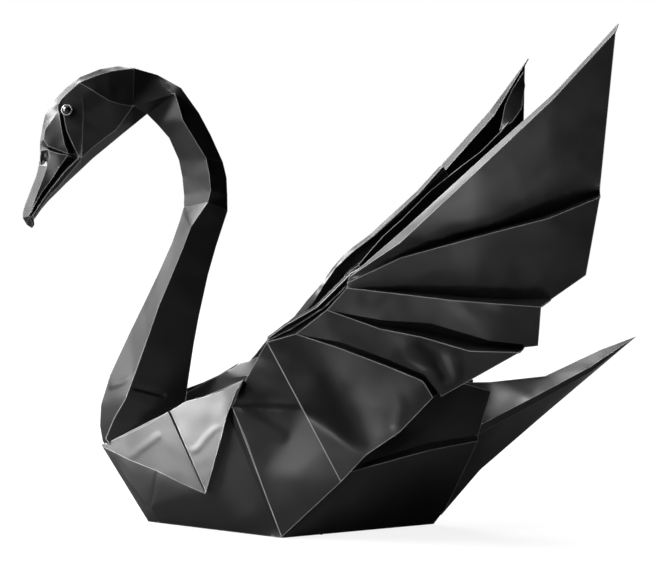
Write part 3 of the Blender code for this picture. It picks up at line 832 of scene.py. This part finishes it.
class NeckAndHead:
    """The neck tube with its kite section, and the faceted head and beak that continue it."""

    def make(self, paper: bpy.types.Material) -> None:
        """Folds the neck and the head from their fold lines."""
        layer = FoldedLayer("neck_and_head", relaxing=14, cell=0.9 * MM, ridges=self.creases())
        nape = self.neck(layer)
        self.head(layer, *nape)
        layer.finish(paper)

    def creases(self) -> list[Ridge]:
        """The small dents and wrinkles of the neck."""
        line = NECK.line
        tuck = line((9.1, -7, 20.9), (14.4, -5, 19.4), (19.3, -3, 17.8))
        wrinkle = line((2.6, -1.3, 20.2), (5.6, -3.8, 21.6), (8, -5.6, 23.4))
        return [Ridge(tuck, -0.45 * MM, 1.3 * MM), Ridge(wrinkle, 0.2 * MM, 1.8 * MM)]

    def neck(self, layer: FoldedLayer) -> tuple[Vector, Vector, Vector]:
        """Folds the neck's tube from the hull up to the nape.

        Args:
            layer: The layer that gets the neck.

        Returns:
            The nape's last points on the throat, on the side and on the back.
        """
        front = NECK.middle(
            (10, -12.5), (0.2, 1.6), (-0.8, 6.8), (-0.7, 13.5), (1.9, 23.5), (7.8, 37.8), (12.3, 48.1),
            (16.7, 58.5), (20.2, 67.4), (22.5, 75), (23.6, 79.3), (23.5, 83.2), (22.7, 89),
            (21.4, 94.4), (18, 101.3), (14.3, 105.2), (10.7, 108.5),
        )
        side = NECK.line(
            (12.5, -2, -12.5), (1.3, -1.3, 2.6), (3.9, -4.5, 9.9), (7.6, -7, 17.3), (9.8, -6.9, 24.2),
            (13.9, -6.8, 37.4), (16.9, -6.6, 47.4), (20.4, -6.4, 56.8), (23.8, -6.3, 66.2),
            (26.1, -6, 73.2), (31.2, -5.4, 81.3), (31.9, -5.8, 85.2), (31.2, -6.2, 90.6),
            (30, -6, 95.3), (26.3, -5.4, 100.8), (22.2, -4.6, 106.9), (19.4, -3.6, 115.3),
        )
        back = NECK.middle(
            (25, -12.5), (26, 1.8), (26.4, 9), (26.8, 15.8), (27.3, 22.5), (28.6, 34.5), (29.9, 43.8),
            (32.3, 57.5), (34.5, 66.8), (36.6, 74.4), (37.8, 78.7), (37.5, 84), (37, 89.6),
            (35.6, 94.5), (31.2, 103.2), (27.2, 109.9), (21.2, 117.5),
        )
        layer.strip(front, side, crisp=(10,))
        layer.strip(side, back, crisp=(6, 10, 13))
        layer.shade(front[14], side[14])
        return front[-1], side[-1], back[-1]

    def head(self, layer: FoldedLayer, chin_end: Vector, nape_side: Vector, nape_back: Vector) -> None:
        """Folds the head and the beak onto the nape.

        Args:
            layer: The layer that gets the head.
            chin_end: Where the throat's line ends at the neck's front.
            nape_side: The nape's last point on the side.
            nape_back: The nape's last point on the back.
        """
        line, middle = HEAD.line, HEAD.middle
        panel, strip = layer.panel, layer.strip
        crown_bend = NECK.point((13.5, 0, 121.2))
        top = middle(
            (0, 0), (-5.4, -0.1), (-11, -1.4), (-17.1, -4.3), (-21.4, -8), (-24.2, -11.2),
            (-26.2, -13.7), (-27.6, -16.8), (-28.3, -20.6), (-28.9, -24.9),
        )
        rim = line(
            (-0.3, -1.1, -0.5), (-7.1, -1.7, -1.9), (-12.3, -2.2, -3.9), (-17.1, -2.8, -6.3),
            (-22.2, -2.6, -11.5), (-23.4, -2.6, -13.7), (-23.3, -2.7, -15.3), (-24.5, -2.6, -17.7),
            (-27.2, -2.2, -21.6), (-27.6, -1.9, -24.9),
        )
        cheek_top = line((-12.9, -4.2, -8.5), (-7.8, -4.9, -11.4), (-4, -4.7, -12.4))
        cheek_under = line(
            (0, -4.4, -12.8), (-3.2, -4.8, -18), (-5, -4.9, -20.6), (-8.3, -4.9, -23.3),
            (-12.2, -5, -26.7), (-15.3, -5.3, -30),
        )
        throat = [chin_end, *middle(
            (0, -18.6), (-2.8, -21.1), (-7.7, -25.6), (-12.2, -29.7), (-16, -33.7),
        )]
        cheek_front = line((-15.8, -4, -11.8), (-15.3, -4.6, -16), (-15.3, -5, -20.4))
        cheek_front.append(cheek_under[-1])
        strip_edge = line(
            (-21.5, -3.4, -16.6), (-20.4, -4, -21.5), (-18.8, -4.4, -24.8), (-16.4, -4.8, -29.4),
        )
        strip_deep = line(
            (-22.2, -2.5, -16.2), (-21.1, -2.9, -21.5), (-19.6, -3.1, -25.2), (-17.7, -3.4, -28.8),
        )
        lore_rear = line(
            (-22.9, -3.3, -16.4), (-21.8, -4.2, -21.9), (-20.7, -4.6, -26.2), (-19.4, -4.7, -29),
        )
        lore_foot = line((-26.1, -2.6, -26.7), (-22.8, -3.6, -27.9))
        gap_deep = line((-25.6, -1.5, -27.5), (-22.6, -2.6, -28.4), (-19.2, -3.6, -29.2))
        side_top = line((-25.7, -2.4, -28.2), (-22.8, -3.6, -28.9))
        brow, brow_low = middle((-28.9, -28), (-28.8, -30.6))
        pit = line(
            (-28.4, -0.6, -28.2), (-26.1, -2, -27.9), (-25.7, -2.2, -30.2), (-26.3, -2.1, -33.2),
            (-28.4, -0.7, -33), (-28.7, -0.4, -30.6),
        )
        pit_floor = line(
            (-27.2, -0.5, -28.9), (-26.4, -0.9, -30.2), (-26.8, -0.4, -31.3), (-27, -0.9, -32.2),
            (-27.8, -0.2, -31),
        )
        culmen = middle((-29.1, -32.8), (-29.7, -36), (-31.4, -40.9), (-33, -45.7), (-33.6, -48))
        ridge = line(
            (-26.3, -2.1, -33.5), (-27.4, -2.3, -37.2), (-28.8, -2.1, -41.1), (-30.3, -1.7, -45.6),
            (-31.1, -1.4, -48),
        )
        side_low = line(
            (-19.6, -4.5, -29.3), (-22.3, -3.9, -33.3), (-24.9, -3.1, -37.7), (-27.6, -2.4, -41.5),
            (-29.9, -1.9, -45.9), (-30.8, -1.6, -48),
        )
        under_deep = line(
            (-17.9, -2.9, -30.1), (-21.5, -2.4, -33.7), (-24.3, -1.9, -37.8), (-26.7, -1.4, -41.3),
            (-29.4, -1, -45.5), (-30.6, -0.8, -48.1),
        )
        jaw_upper = line(
            (-16.4, -4.9, -30.3), (-20.3, -4.2, -34.3), (-22.7, -3.5, -37.6), (-25.3, -2.8, -41),
            (-28.1, -2.1, -45.3), (-30.2, -1.6, -48.9),
        )
        jaw_lower = line(
            (-15.6, -4.9, -30.8), (-19.5, -4.1, -35.7), (-22.2, -3.4, -39.2), (-25.1, -2.7, -42.3),
            (-27.7, -2, -46.2), (-29.9, -1.5, -49.8),
        )
        chin = [throat[-1], *middle(
            (-20.4, -38.2), (-23, -41.1), (-25.5, -43.8), (-28.3, -47.4), (-30.1, -50.2),
        )]
        nail = middle((-33.6, -49.9), (-32.2, -52.1), (-30.6, -53), (-29.9, -52))
        nail_side = line((-31.6, -1.3, -49.1), (-30.4, -1, -51))
        panel(nape_back, nape_side, cheek_under[0], rim[0], crown_bend)
        panel(crown_bend, rim[0], top[0])
        panel(nape_side, chin_end, cheek_under[0])
        layer.shade(nape_side, cheek_under[0])
        layer.soften(nape_side, nape_back)
        strip(top, rim)
        panel(*rim[:4], *cheek_top, cheek_under[0])
        panel(rim[3], *cheek_top, *cheek_under, *reversed(cheek_front[:3]))
        panel(*rim[3:7], lore_rear[0], strip_deep[0], strip_edge[0], cheek_front[0])
        strip(cheek_under, throat)
        strip(strip_edge, cheek_front)
        strip(strip_deep, strip_edge)
        strip(lore_rear, strip_deep)
        panel(*rim[6:], *lore_foot, *reversed(lore_rear))
        strip([*lore_foot, lore_rear[3]], gap_deep)
        strip(gap_deep, [*side_top, side_low[0]])
        panel(lore_rear[3], gap_deep[2], strip_deep[3])
        panel(gap_deep[2], side_low[0], under_deep[0], strip_deep[3])
        panel(strip_deep[3], under_deep[0], jaw_upper[0], strip_edge[3])
        panel(strip_edge[3], jaw_upper[0], jaw_lower[0], cheek_front[3])
        panel(cheek_front[3], jaw_lower[0], throat[-1])
        panel(top[9], rim[9], lore_foot[0], gap_deep[0], side_top[0], pit[1], pit[0], brow)
        panel(brow, pit[0], pit[5], brow_low)
        panel(brow_low, pit[5], pit[4], culmen[0])
        panel(culmen[0], pit[4], pit[3], ridge[0])
        for number, floor_point in enumerate(pit_floor):
            around = (number + 1) % len(pit_floor)
            panel(pit[number], pit[number + 1], floor_point)
            panel(pit[number + 1], pit_floor[around], floor_point)
        panel(pit[5], pit[0], pit_floor[0])
        panel(*pit_floor)
        panel(side_top[0], side_top[1], side_low[0], side_low[1], ridge[0], pit[3], pit[2], pit[1])
        strip(culmen, ridge)
        strip(ridge, side_low[1:])
        layer.strips(side_low, under_deep, jaw_upper, jaw_lower, chin)
        panel(culmen[4], nail[0], nail_side[0], ridge[4])
        panel(nail[0], nail[1], nail_side[0])
        panel(nail[1], nail[2], nail_side[1], nail_side[0])
        panel(nail[2], nail[3], nail_side[1])
        panel(nail[3], chin[5], nail_side[1])
        panel(nail_side[0], nail_side[1], chin[5], jaw_lower[5])
        panel(ridge[4], nail_side[0], jaw_lower[5], jaw_upper[5], under_deep[5], side_low[5])


class TailBlade:
    """The tail: ridge, eave, a narrow band under the eave and the side down to the keel."""

    def make(self, paper: bpy.types.Material) -> None:
        """Folds the tail from its four long lines."""
        layer = FoldedLayer("tail_blade", relaxing=30)
        line, tip = TAIL.line, (65, 0, 61.8)
        ridge = line((0.5, 0, 43.7), (13.4, 0, 44.2), (32.8, 0, 46.8), (52, 0, 56.5), tip)
        eave = line((-1, -10.6, 29), (7.8, -10, 31.3), (25.2, -8, 40.1), (47.2, -4, 51), tip)
        band = line((-1, -10.2, 25.6), (8.6, -9, 28.4), (26, -7, 37.6), (48.2, -3.2, 49.4), tip)
        keel = line((-1, 0, -2.6), (11.8, 0, 13.5), (32, 0, 32.1), (52.4, 0, 50.5), tip)
        layer.strips(ridge, eave, band, keel)
        layer.finish(paper)


@dataclass
class Eye:
    """A bead eye: a glossy domed pupil in a bright ring, set on the eye panel of the head."""

    half: Half
    diameter: float = 4.0 * MM
    height: float = 1.2 * MM
    gap: float = 0.3 * MM
    steps: int = 48

    def seat(self) -> tuple[Vector, Vector]:
        """The eye's centre on the left panel and the panel's outward direction."""
        first, second, third = HEAD.line((-17.1, -2.8, -6.2), (-23.7, -2.6, -14.4), (-16.8, -5.0, -18.2))
        outwards = (second - first).cross(third - first).normalized()
        if outwards.y > 0:
            outwards = -outwards
        centre = HEAD.point((-20.3, 0.0, -15.3))
        across = centre - first
        centre.y = first.y - (across.x * outwards.x + across.z * outwards.z) / outwards.y
        return centre + outwards * self.gap, outwards

    def turned(
        self, name: str, profile: Sequence[tuple[float, float]], finish: bpy.types.Material
    ) -> None:
        """Turns one profile about the eye's axis and sets it on the head.

        Args:
            name: The piece's name.
            profile: Shares of the radius and of the height, in order along the profile.
            finish: The piece's material.
        """
        shape = bmesh.new()
        radius = self.diameter / 2
        verts = [shape.verts.new((out * radius, 0.0, up * self.height)) for out, up in profile]
        edges = [shape.edges.new(pair) for pair in zip(verts, verts[1:])]
        bmesh.ops.spin(
            shape,
            geom=[*verts, *edges],
            cent=(0, 0, 0),
            axis=(0, 0, 1),
            angle=math.tau,
            steps=self.steps,
            use_merge=True,
        )
        bmesh.ops.remove_doubles(shape, verts=shape.verts, dist=0.01 * MM)
        bmesh.ops.recalc_face_normals(shape, faces=shape.faces)
        centre, outwards = self.seat()
        if self.half is Half.RIGHT:
            centre.y = -centre.y
            outwards.y = -outwards.y
        turn = outwards.to_track_quat("Z", "Y").to_matrix().to_4x4()
        bmesh.ops.transform(shape, matrix=Matrix.Translation(centre) @ turn, verts=shape.verts)
        for face in shape.faces:
            face.smooth = True
        made = add_mesh(name, shape, finish)
        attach(made, BODY)
        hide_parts(f"{self.half.value}_eye")

    def make(self, bead: bpy.types.Material, foil: bpy.types.Material) -> None:
        """Makes the eye's ring and its pupil."""
        ring = (
            (0.6, 0.0), (0.88, 0.0), (0.9, 0.14), (0.88, 0.36), (0.82, 0.46), (0.76, 0.44), (0.7, 0.3),
            (0.6, 0.2), (0.6, 0.0),
        )
        pupil = (
            (0.0, 0.02), (0.66, 0.02), (0.69, 0.2), (0.66, 0.4), (0.56, 0.6), (0.42, 0.78), (0.22, 0.9),
            (0.0, 0.94),
        )
        self.turned(f"{self.half.value}_eye_ring", ring, foil)
        self.turned(f"{self.half.value}_eye_pupil", pupil, bead)
        log.info("%s eye made", self.half.value)


@dataclass(frozen=True)
class Softbox:
    """A rectangular studio lamp: where it stands, its power, what it faces, its size and its grid."""

    name: str
    stands: Drawn
    watts: float
    faces: Drawn = (0.0, 0.0, 0.085)
    size: Span = (0.2, 0.2)
    grid_degrees: float = 180.0

    def make(self) -> None:
        """Adds the lamp to the scene."""
        lamp = bpy.data.lights.new(self.name, "AREA")
        lamp.shape = "RECTANGLE"
        lamp.size, lamp.size_y = self.size
        lamp.energy = self.watts
        lamp.spread = math.radians(self.grid_degrees)
        made = add_object(self.name, lamp)
        made.location = self.stands
        aim = Vector(self.faces) - Vector(self.stands)
        made.rotation_euler = aim.to_track_quat("-Z", "Y").to_euler()


@dataclass
class Studio:
    """The pale floor, the pale backdrop, the soft lamps and the photograph's camera."""

    azimuth: float = -8.0
    elevation: float = 4.454
    roll: float = 2.898
    distance: float = 0.36
    target: Drawn = (0.015, 0.0, 0.08107)
    focal_px: float = 1080.0
    width_px: float = 661.0
    floor_size: float = 6.0
    floor_drop: float = 0.2 * MM
    floor_grey: str = "#707070"
    glow_reach: Span = (0.2, 0.6)
    glow_levels: Span = (0.86, 1.0)
    mirrored_cone: Span = (0.88, 0.97)
    lamps: tuple[Softbox, ...] = (
        Softbox("low_left_strip", (-0.540, -0.066, 0.162), 0.8, size=(0.34, 0.2)),
        Softbox("low_left_front", (-0.526, -0.141, 0.162), 0.7),
        Softbox("low_left_rear", (-0.472, 0.272, 0.162), 0.6),
        Softbox("high_left", (-0.451, 0.0, 0.400), 4.0),
        Softbox("high_left_rear", (-0.435, 0.117, 0.400), 0.65),
        Softbox("high_left_front", (-0.435, -0.117, 0.400), 0.8),
        Softbox("rear_left", (-0.225, 0.390, 0.400), 1.1),
        Softbox("high_rear", (0.0, 0.258, 0.571), 2.0),
        Softbox("high_rear_left", (-0.129, 0.224, 0.571), 0.8),
        Softbox("front_fill", (-0.095, -0.536, 0.162), 0.07),
        Softbox("high_front_fill", (-0.290, -0.345, 0.400), 0.03),
        Softbox("breast_spot", (-0.30, -0.25, 0.02), 0.066, (-0.045, -0.005, 0.012), (0.1, 0.1), 16.0),
        Softbox("beak_spot", (-0.38, -0.20, 0.13), 0.0015, (-0.079, 0.0, 0.108), (0.12, 0.12), 14.0),
        Softbox("leading_edge_spot", (-0.30, 0.36, 0.33), 0.052, (0.05, -0.03, 0.12), (0.16, 0.16), 40.0),
        Softbox("wing_spot", (-0.28, -0.52, 0.02), 0.0055, (0.085, -0.034, 0.12), (0.05, 0.05), 13.0),
        Softbox("tail_spot", (-0.02, -0.06, 0.55), 0.05, (0.09, 0.0, 0.05), (0.14, 0.14), 30.0),
        Softbox("shoulder_spot", (-0.1, -0.4, 0.05), 0.0007, (-0.001, -0.016, 0.026), (0.03, 0.03), 6.0),
    )

    def camera(self) -> None:
        """Makes the camera that sees the swan as the photograph does."""
        lens = bpy.data.cameras.new("photo_camera")
        lens.sensor_width = 36.0
        lens.lens = self.focal_px * lens.sensor_width / self.width_px
        made = add_object("photo_camera", lens)
        turn, rise, roll = (math.radians(angle) for angle in (self.azimuth, self.elevation, self.roll))
        back = Vector((math.sin(turn) * math.cos(rise), -math.cos(turn) * math.cos(rise), math.sin(rise)))
        level = Vector((math.cos(turn), math.sin(turn), 0.0))
        upright = back.cross(level)
        right = level * math.cos(roll) + upright * math.sin(roll)
        up = upright * math.cos(roll) - level * math.sin(roll)
        pose = Matrix((right, up, back)).transposed().to_4x4()
        pose.translation = Vector(self.target) + back * self.distance
        made.matrix_world = pose
        bpy.context.scene.camera = made

    def floor(self) -> None:
        """Lays the pale floor, which keeps the swan's shadow."""
        shape = bmesh.new()
        bmesh.ops.create_grid(shape, x_segments=2, y_segments=2, size=self.floor_size / 2)
        bmesh.ops.translate(shape, verts=shape.verts, vec=(0.0, 0.0, -self.floor_drop))
        paint, tree, shader = new_material("white_floor_paint")
        shader.inputs["Base Color"].default_value = linear(self.floor_grey)
        shader.inputs["Roughness"].default_value = 0.9
        path = add_node(tree, "ShaderNodeLightPath")
        place = add_node(tree, "ShaderNodeTexCoord").outputs["Object"]
        away = add_node(tree, "ShaderNodeVectorMath", {"operation": "LENGTH"}, Vector=place)
        level = map_range(tree, away.outputs["Value"], self.glow_reach, self.glow_levels)
        glow = add_node(tree, "ShaderNodeEmission", Color=linear("#ffffff"), Strength=level)
        seen = add_node(
            tree, "ShaderNodeMixShader", Fac=path.outputs["Is Camera Ray"], socket_2=glow.outputs[0]
        )
        both = add_node(tree, "ShaderNodeAddShader", socket_0=seen.outputs[0], socket_1=shader.outputs[0])
        tree.links.new(both.outputs[0], tree.nodes["Material Output"].inputs["Surface"])
        made = add_mesh("studio_floor", shape, paint)

    def backdrop(self) -> None:
        """Makes the white surroundings, which mirrors see behind the swan but not in front of it."""
        world = bpy.data.worlds.new("white_studio")
        bpy.context.scene.world = world
        world.use_nodes = True
        tree = world.node_tree
        surface = tree.nodes["Background"]
        path = add_node(tree, "ShaderNodeLightPath").outputs
        look = add_node(tree, "ShaderNodeTexCoord").outputs["Generated"]
        split = add_node(tree, "ShaderNodeSeparateXYZ", Vector=look)
        behind = map_range(tree, split.outputs["Y"], self.mirrored_cone, (0.0, 1.0))
        mirrored = combine(tree, "MAXIMUM", path["Is Glossy Ray"], path["Is Transmission Ray"])
        reflected = combine(tree, "MULTIPLY", mirrored, behind)
        shown = combine(tree, "MAXIMUM", reflected, path["Is Camera Ray"])
        surface.inputs["Color"].default_value = linear("#ffffff")
        tree.links.new(shown, surface.inputs["Strength"])

    def make(self) -> None:
        """Sets up the camera, the floor, the backdrop and the lamps."""
        self.camera()
        self.floor()
        self.backdrop()
        for lamp in self.lamps:
            lamp.make()
        bpy.context.scene.view_settings.view_transform = "Standard"
        log.info("studio: %d lamps", len(self.lamps))


def main() -> None:
    """Builds the swan and its studio in order, and reports each piece."""
    logging.basicConfig(level=logging.INFO, format="%(message)s")
    paper = BlackPaper().make()
    Studio().make()
    Hull().make(paper)
    BreastFlap().make(paper)
    for half in (Half.LEFT, Half.RIGHT):
        Wing(half).make(paper)
    far = FarLayers(paper)
    far.wing()
    far.lining()
    NeckAndHead().make(paper)
    TailBlade().make(paper)
    bead, foil = GlassBead().make(), SilverFoil().make()
    for half in (Half.LEFT, Half.RIGHT):
        Eye(half).make(bead, foil)


if __name__ == "__main__":
    main()
